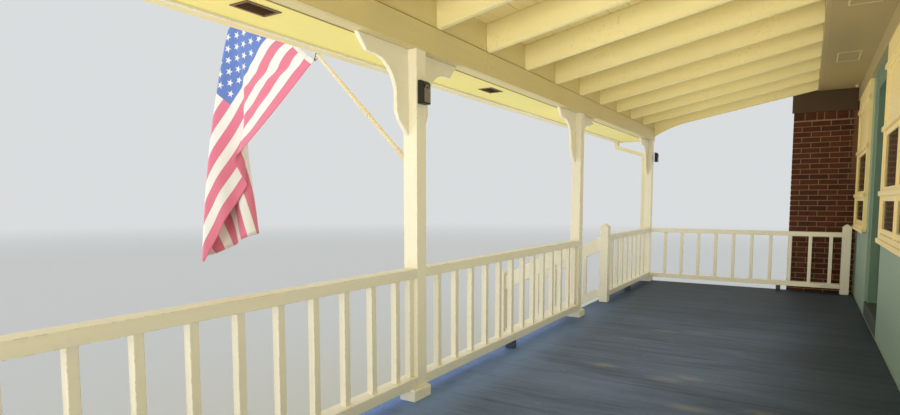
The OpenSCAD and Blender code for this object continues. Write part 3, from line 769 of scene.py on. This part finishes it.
def four_bars(a0, a1, b0, b1, width):
    """The four bars of a frame: two at the ends of a run the whole of b, and two fit between them."""
    return ((a0, a0 + width, b0, b1), (a1 - width, a1, b0, b1),
            (a0 + width, a1 - width, b0, b0 + width), (a0 + width, a1 - width, b1 - width, b1))


# The cream made darker and yellower: painted shade under the roof.
dusk_x = painted("dusk_paint_x", tint(182, 164, 118), "X", grime=0.55, wear=0.1)
dressed("roof_ledger", "ledger", dusk_x, "beam_paint")
dressed("house_eave_ceiling", "house_eave_soffit", dusk_x, "house_soffit_paint", 0.001, 1)
dressed("frieze_trim", "frieze_board", dusk_x, "house_soffit_paint")
ceiling_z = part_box("house_eave_soffit")[0].z
bars = [((left, front, ceiling_z - PATCH_T), (right, back, ceiling_z), 0.9)
        for x0, x1, y0, y1 in PATCHES for front, back, left, right in four_bars(y0, y1, x0, x1, PATCH_W)]
# A lighter copy of the eave ceiling's paint, for the raised frames and the round cover: painted highlight.
patch_paint = painted("patch_paint", tint(214, 198, 150), "X", grime=0.3, wear=0.1)
piece("ceiling_patches", slabs(bars, 0.001), [patch_paint], "house_soffit_paint")
bm = bmesh.new()
for radius, depth, drop in ((COVER_R, 0.010, 0.005), (COVER_R * 0.62, 0.020, 0.018)):
    bmesh.ops.create_cone(bm, cap_ends=True, segments=24, radius1=radius * 0.86, radius2=radius,
                          depth=depth, matrix=Matrix.Translation((COVER_X, COVER_Y, ceiling_z - drop)))
ease_edges(bm, 0.002, 2)
piece("round_cover", bm, [patch_paint], "house_soffit_paint")
brown_paint = painted("brown_paint", tint(78, 60, 42), "Y", grime=0.4, wear=0.2)
dressed("brick_frieze_boards", "brick_frieze", brown_paint, "brown_paint")
wall_paint = painted("wall_paint", tint(150, 172, 154), "Z", grime=0.3, wear=0.1, gloss=0.55,
                     dirt=tint(112, 128, 108))
dressed("wall_panels", "house_wall", wall_paint, "siding_paint", 0.003, 1)


# The doorway: a framed leaf with two sunk panels between deep jambs, in the wall's colour, over a
# dark stone step.
LEAF_T = 0.044


def speckled(name, first, second, scale, detail, roughness, depth, grain=0.55, **plain):
    """A material flecked in two tones. A pair for its roughness follows the flecks."""
    made, tree, place = object_material(name)
    flecks = noise(place, scale, detail, grain)
    if isinstance(roughness, tuple):
        roughness = band(flecks, 0.3, 0.7, *roughness)
    return surface_of(made, mixed(flecks, first, second), roughness, flecks, depth, **plain)


brass = speckled("knob_brass", tint(196, 160, 84), tint(142, 108, 52), 60.0, 3.0, (0.22, 0.42), 0.0001,
                 Metallic=1.0)
door_green = painted("door_paint", tint(112, 138, 120), "Z", grime=0.3, wear=0.25, gloss=0.38)
leaf = cad_copy("door", 0.003)
knob_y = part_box("door")[1].y - LEAF_T - 0.0001  # what stands out past the leaf is the knob
for face in leaf.faces:
    face.material_index = int(face.calc_center_median().y < knob_y)
piece("door_leaf", leaf, [door_green, brass], "siding_paint", "door")
dressed("door_jambs", "door_frame", door_green, "siding_paint")
step_stone = speckled("step_stone", tint(44, 54, 54), tint(78, 86, 84), 90.0, 5.0, 0.7, 0.001, 0.7)
dressed("door_sill_step", "door_step", step_stone, "dark_stone", 0.006)


# Windows of stacked lights in cream casings with proud sills and rails, over thin glass tinted dark
# brown: painted shade of the dim rooms behind. Each light has a storm sash near the face of the casing
# too: glass in the two lower rows, a painted board in the top row.
CASING_T = 0.035  # how far the casing stands out from the wall
SASH_W, SASH_T = 0.042, 0.018
SASH_REVEAL = 0.009  # from the face of the casing back to the sash
STORM_IN, STORM_T = 0.006, 0.004  # the filling's place in the sash
MARGIN_X, MARGIN_Z = 0.017, 0.011  # how far the outer opening reaches past the sight opening
window_paint = painted("window_paint", tint(255, 232, 166), "Z", grime=0.35, wear=0.3)
dressed("wide_window_frames", "wide_windows", window_paint, "window_paint")
dressed("end_window_frames", "end_windows", window_paint, "window_paint")
# The glass is tinted dark brown and only partly clear: painted shade of the dim room behind it.
pane, tree = blank_material("pane")
shaded(pane, add_node(tree, "BsdfPrincipled", {
    "Base Color": tint(116, 106, 82), "Roughness": 0.11, "Transmission Weight": 0.75, "IOR": 1.5}))
dressed("panes", "window_glass", pane, "pane", 0.0)
light_boxes = solid_boxes("window_glass")
top_row_z = max(low.z for low, high in light_boxes)
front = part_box("house_wall")[0].y - CASING_T + SASH_REVEAL
bars, boards, storm_panes = [], [], []
for low, high in light_boxes:
    x0, x1 = low.x - MARGIN_X, high.x + MARGIN_X
    z0, z1 = low.z - MARGIN_Z, high.z + MARGIN_Z
    for left, right, foot, head in four_bars(x0, x1, z0, z1, SASH_W):
        bars.append(((left, front, foot), (right, front + SASH_T, head), RNG.random()))
    filling = boards if low.z > top_row_z - 0.01 else storm_panes
    filling.append(((x0 + SASH_W, front + STORM_IN, z0 + SASH_W),
                    (x1 - SASH_W, front + STORM_IN + STORM_T, z1 - SASH_W), RNG.random()))
piece("storm_sashes", slabs(bars + boards, 0.0015), [window_paint], "window_paint")
piece("storm_panes", slabs(storm_panes, 0.0), [pane], "pane")


# Railings: flat hand and foot rails with square bars between them, nailed between the posts, and
# dark blocks under the middle of each foot rail.
FOOT_RAIL_H, HAND_RAIL_H = 0.0572, 0.0552  # from the ends of a railing to the ends of its bars


def rails_and_bars(node):
    """A railing's copy, its bars brushed upright and its rails brushed along."""
    low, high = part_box(node)
    along = "X" if high.x - low.x > 0.5 else "Y"
    bm = cad_copy(node, 0.003)
    for face in bm.faces:
        height = face.calc_center_median().z
        face.material_index = int(low.z + FOOT_RAIL_H < height < high.z - HAND_RAIL_H
                                  and abs(face.normal.z) < 0.9)
    piece(node + "_painted", bm, [cream[along], cream["Z"]], "cream_paint", node)


for railing in ("railing_far", "railing_steps_to_middle", "railing_middle_to_near", "railing_near",
                "end_railing_far", "end_railing_near"):
    rails_and_bars(railing)
dressed("newel_posts", "newels", cream["Z"], "cream_paint", 0.004)
feet_paint = painted("feet_paint", tint(70, 76, 86), "Z", grime=0.5, wear=0.4)
dressed("rail_feet", "railing_feet", feet_paint, "feet_paint")


# The steps down from the deck: treads in deck paint on sawn stringers, cream risers nailed between
# them, and sloping rails that run down to the newels at the foot.
SLANT_LEAST = 0.045  # an edge that reaches further along Y than this is a rail's
dressed("step_stringers", "stair_stringers", timber_y, "timber", 0.002, 1)
tread_paint = painted("tread_paint", tint(66, 83, 116), "X", grime=0.5, wear=0.8, bare=tint(140, 134, 124))
dressed("step_treads", "stair_treads", tread_paint, "deck_paint", 0.005)
dressed("step_risers", "stair_risers", cream["X"], "cream_paint", 0.002)
slanted = cad_copy("stair_railings", 0.003)
for face in slanted.faces:
    upright = all(abs(e.verts[0].co.y - e.verts[1].co.y) < SLANT_LEAST for e in face.edges)
    face.material_index = int(upright)
piece("step_rails", slanted, [cream["Y"], cream["Z"]], "cream_paint", "stair_railings")


# On the middle post: a cast bracket in pale enamel, a two-piece varnished pole with a ball end, and
# a small black lamp on the house side. The far post has a lamp like it.
POLE_TILT = math.radians(45)
PLATE_W, PLATE_H, PLATE_T = 0.8, 0.076, 0.002  # the grey front, its width as a share of the case's
PLATE_RISE = 0.046  # its middle over the case's foot
SENSOR_R, SENSOR_WIRE, SENSOR_DROP = 0.017, 0.004, 0.045

cast_metal = speckled("cast_metal", tint(216, 200, 172), tint(232, 218, 194), 300.0, 3.0, 0.45, 0.0004)
dressed("pole_bracket", "flag_bracket", cast_metal, "bracket_metal", 0.0015)
pole_wood, tree, place = object_material("pole_varnish")
level = add_node(tree, "Mapping", {"Vector": place, "Rotation": (POLE_TILT, 0.0, 0.0)}).outputs[0]
fibres = noise(level, (150.0, 2.5, 150.0), 2.0, 0.5)
knots = noise(level, (6.0, 2.0, 6.0), 3.0)
varnish = mixed(band(fibres, 0.3, 0.7, 0.0, 0.3), tint(234, 222, 190), tint(208, 188, 152))
varnish = mixed(band(knots, 0.55, 0.75, 0.0, 0.15), varnish, tint(176, 150, 112))
surface_of(pole_wood, varnish, 0.42, fibres, 0.0001)
dressed("two_piece_pole", "flag_pole", pole_wood, "pole_wood", 0.0)
black_plastic = speckled("black_plastic", tint(18, 16, 17), tint(34, 32, 33), 500.0, 2.0, 0.45, 0.0003)
grey_plastic = speckled("grey_plastic", tint(104, 100, 90), tint(152, 146, 132), 40.0, 4.0, 0.35, 0.0002)


def wire_ring(bm, radius, wire, place):
    """Adds a ring of round wire, made in the XY plane and then put in its place."""
    before = set(bm.verts)
    upright = Matrix.Translation((radius, 0, 0)) @ Matrix.Rotation(math.radians(90), 4, "X")
    section = set(bmesh.ops.create_circle(bm, segments=8, radius=wire, matrix=upright)["verts"])
    bmesh.ops.spin(bm, geom=[e for e in bm.edges if section.issuperset(e.verts)], axis=(0, 0, 1),
                   cent=(0, 0, 0), dvec=(0, 0, 0), angle=math.tau, steps=20, use_merge=True)
    bmesh.ops.transform(bm, verts=[v for v in bm.verts if v not in before], matrix=place)


def post_lamp(name, post_x, house_y, *stands_for):
    """A rounded black case screwed to a post's house side, with a grey front and a ringed sensor."""
    low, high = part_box("post_light")
    width, deep = high.x - low.x, high.y - low.y
    face_y = house_y + deep
    bm = bmesh.new()
    middle = (post_x, house_y + deep / 2, (low.z + high.z) / 2)
    bmesh.ops.create_cube(bm, size=1, matrix=block_place(middle, (width, deep, high.z - low.z)))
    top_front = [e for e in bm.edges
                 if all(v.co.z > high.z - 0.001 and v.co.y > middle[1] for v in e.verts)]
    bmesh.ops.bevel(bm, geom=top_front, affect="EDGES", offset=deep * 0.7, segments=6, profile=0.5,
                    material=-1, clamp_overlap=True)
    ease_edges(bm, 0.003, 2)
    piece(name, bm, [black_plastic], "black_plastic", *stands_for)
    bm = bmesh.new()
    bmesh.ops.create_cube(bm, size=1, matrix=block_place(
        (post_x, face_y + PLATE_T / 2, low.z + PLATE_RISE), (width * PLATE_W, PLATE_T, PLATE_H)))
    wire_ring(bm, SENSOR_R, SENSOR_WIRE, Matrix.Translation((post_x, face_y + 0.001, high.z - SENSOR_DROP))
              @ Matrix.Rotation(math.radians(90), 4, "X"))
    bmesh.ops.recalc_face_normals(bm, faces=bm.faces)
    piece(name + "_front", bm, [grey_plastic], "black_plastic")


post_lamp("middle_lamp", 0.0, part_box("post_light")[0].y, "post_light")
far_low, far_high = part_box("post_far_end")
post_lamp("far_lamp", (far_low.x + far_high.x) / 2, far_high.y)


# The flag is printed nylon sewn to a canvas heading. Two spring clips hold the heading's corners to
# rings on the pole, and the cloth hangs from them in a fold that the breeze has pushed back.
FLAG_WIDE, FLAG_LONG = 0.914, 1.737
ACROSS, ALONG = 40, 66  # squares of the cloth mesh
SLACK = 0.01  # the cloth starts this much smaller and is let out to its cut size
POLE_FOOT = Vector((0.0, -0.07, 1.83))
POLE_WAY = Vector((0.0, -1.0, 1.0)).normalized()
DOWN_WAY = Vector((0.0, -1.0, -1.0)).normalized()
LOW_CLIP = 0.955  # along the pole
CLIP_DROP = Vector((0.0, -0.02, -0.03))  # from the pole's axis to a corner of the heading
SWING = math.radians(10)
FOLD = math.radians(90)
FOLD_EASE = 0.12
STILL_FRAMES, GUST_FRAMES = 120, 4
BREEZE = (0.2, 0.9, -9.81)
GUST = (0.0, -40.0, -9.81)

wide, long = FLAG_WIDE / (1 + SLACK), FLAG_LONG / (1 + SLACK)
low_corner = POLE_FOOT + POLE_WAY * LOW_CLIP + CLIP_DROP
high_corner = low_corner + POLE_WAY * wide
hang = DOWN_WAY * math.cos(SWING) + Vector((1, 0, 0)) * math.sin(SWING)
crease = (low_corner + hang * long - high_corner).normalized()
bm = bmesh.new()
bm.loops.layers.uv.new("cut")
bmesh.ops.create_grid(bm, x_segments=ACROSS, y_segments=ALONG, size=0.5, calc_uvs=True)
for v in bm.verts:
    up_hoist, out_fly = (v.co.x + 0.5) * wide, (v.co.y + 0.5) * long
    v.co = low_corner + POLE_WAY * up_hoist + hang * out_fly
    from_top = v.co - high_corner
    if crease.cross(from_top).x < 0:
        lift = (from_top - crease * from_top.dot(crease)).length
        turn = Matrix.Rotation(FOLD * min(1.0, lift / FOLD_EASE), 3, crease)
        v.co = high_corner + turn @ from_top
bm.verts.index_update()
corners = [min(bm.verts, key=lambda v: (v.co - c).length).index for c in (low_corner, high_corner)]
flag = mesh_object("flag_cloth", bm)
flag.vertex_groups.new(name="heading").add(corners, 1.0, "REPLACE")
drape = flag.modifiers.new("drape", "CLOTH")
for key, value in {
        "quality": 6, "mass": 0.15, "tension_stiffness": 20, "compression_stiffness": 20,
        "shear_stiffness": 8, "bending_stiffness": 1.0, "tension_damping": 5, "compression_damping": 5,
        "shear_damping": 3, "bending_damping": 0.5, "air_damping": 1.5, "vertex_group_mass": "heading",
        "shrink_min": -SLACK}.items():
    setattr(drape.settings, key, value)
drape.collision_settings.use_collision = drape.collision_settings.use_self_collision = True
drape.collision_settings.self_distance_min = 0.004
first_frame, last_frame = 1, STILL_FRAMES + GUST_FRAMES
drape.point_cache.frame_start, drape.point_cache.frame_end = first_frame, last_frame
scene.frame_start, scene.frame_end = first_frame, last_frame
for n in range(first_frame, last_frame + 1):
    scene.gravity = BREEZE if n <= STILL_FRAMES else GUST
    scene.frame_set(n)
hung = bpy.data.meshes.new_from_object(flag.evaluated_get(bpy.context.evaluated_depsgraph_get()))
flag.modifiers.clear()
flag.data = hung
scene.gravity = (0.0, 0.0, -9.81)
scene.frame_set(first_frame)
for face in hung.polygons:
    face.use_smooth = True

STRIPES, CANTON_STRIPES = 13, 7
CANTON_LONG = 0.4
HEADING_W = 0.035
STAR_STEP_X, STAR_STEP_Y = 0.063 * FLAG_WIDE, 0.054 * FLAG_WIDE
STAR_R = 0.0308 * FLAG_WIDE
STAR_TURN = math.tau / 5


def star_lattice(right, down, shift):
    """1 inside the stars whose rows and columns start a share of two steps from the corner."""
    across = maths("WRAP", maths("SUBTRACT", right, shift * 2 * STAR_STEP_X), -STAR_STEP_X, STAR_STEP_X)
    along = maths("WRAP", maths("SUBTRACT", down, shift * 2 * STAR_STEP_Y), -STAR_STEP_Y, STAR_STEP_Y)
    angle = maths("ARCTAN2", across, times(along, -1.0))
    from_tip = maths("PINGPONG", angle, STAR_TURN / 2)
    radius = maths("SQRT", plus(times(across, across), times(along, along)))
    edge_on = maths("COSINE", maths("SUBTRACT", STAR_TURN, from_tip))
    inside = maths("LESS_THAN", times(radius, edge_on), STAR_R * math.cos(STAR_TURN))
    if shift:
        return inside
    kept_x = maths("COMPARE", right, 6 * STAR_STEP_X, 5.5 * STAR_STEP_X)
    kept_y = maths("COMPARE", down, 5 * STAR_STEP_Y, 4.5 * STAR_STEP_Y)
    return times(inside, times(kept_x, kept_y))


def flag_print():
    """Thirteen stripes and fifty stars by the cloth's own measure, with sewn seams and hems."""
    made, tree = blank_material("flag_print")
    cut = add_node(tree, "UVMap", uv_map="cut").outputs[0]
    cut = add_node(tree, "SeparateXYZ", {"Vector": cut}).outputs
    up_hoist, out_fly = cut["X"], cut["Y"]
    stripe = times(up_hoist, float(STRIPES))
    white = maths("FLOORED_MODULO", maths("FLOOR", stripe), 2.0)
    colour = mixed(white, tint(232, 122, 150), tint(246, 242, 238))
    canton = times(maths("LESS_THAN", out_fly, CANTON_LONG),
                   maths("GREATER_THAN", up_hoist, 1 - CANTON_STRIPES / STRIPES))
    right = times(out_fly, FLAG_LONG)
    down = times(maths("SUBTRACT", 1.0, up_hoist), FLAG_WIDE)
    starred = most(star_lattice(right, down, 0.5), star_lattice(right, down, 0.0))
    blue = mixed(starred, tint(98, 130, 204), tint(244, 243, 240))
    colour = mixed(canton, colour, blue)
    heading = maths("LESS_THAN", out_fly, HEADING_W / FLAG_LONG)
    colour = mixed(heading, colour, tint(240, 236, 224))
    seam = band(maths("PINGPONG", stripe, 0.5), 0.02, 0.06, 1.0, 0.0)
    doubled = most(seam, band(out_fly, 0.985, 0.988))
    colour = mixed(times(doubled, 0.22), colour, tint(120, 70, 70))
    flat = add_node(tree, "CombineXYZ", {"X": right, "Y": down}).outputs[0]
    weave = noise(flat, 900.0, 2.0)
    lines = plus(times(doubled, 0.8), times(weave, 0.2))
    return surface_of(made, colour, band(weave, 0.3, 0.7, 0.55, 0.7), lines, 0.0005, Sheen_Weight=0.3)


hung.materials.append(flag_print())
smoother = flag.modifiers.new("finer", "SUBSURF")
smoother.levels = smoother.render_levels = 1
thick = flag.modifiers.new("cloth_thickness", "SOLIDIFY")
thick.thickness = 0.0006
thick.offset = 0.0
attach(flag, "root")
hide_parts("flag")

CLIP_WIRE = 0.0022
along_pole = POLE_WAY.to_track_quat("Z", "Y").to_matrix().to_4x4()
sideways = Vector((1, 0, 0)).to_track_quat("Z", "Y").to_matrix().to_4x4()
bm = bmesh.new()
for corner in (low_corner, high_corner):
    on_pole = corner - CLIP_DROP
    halfway = (on_pole + corner) / 2 + (corner - on_pole) * 0.18
    for middle, turn, radius, long_by in ((on_pole, along_pole, 0.0155, 1.0),
                                          (halfway, along_pole, 0.011, 1.3),
                                          (corner, sideways, 0.006, 1.0)):
        wire_ring(bm, radius, CLIP_WIRE,
                  Matrix.Translation(middle) @ turn @ Matrix.Diagonal((1, long_by, 1, 1)))
bmesh.ops.recalc_face_normals(bm, faces=bm.faces)
clips = piece("flag_clips", bm, [brass], "bracket_metal")
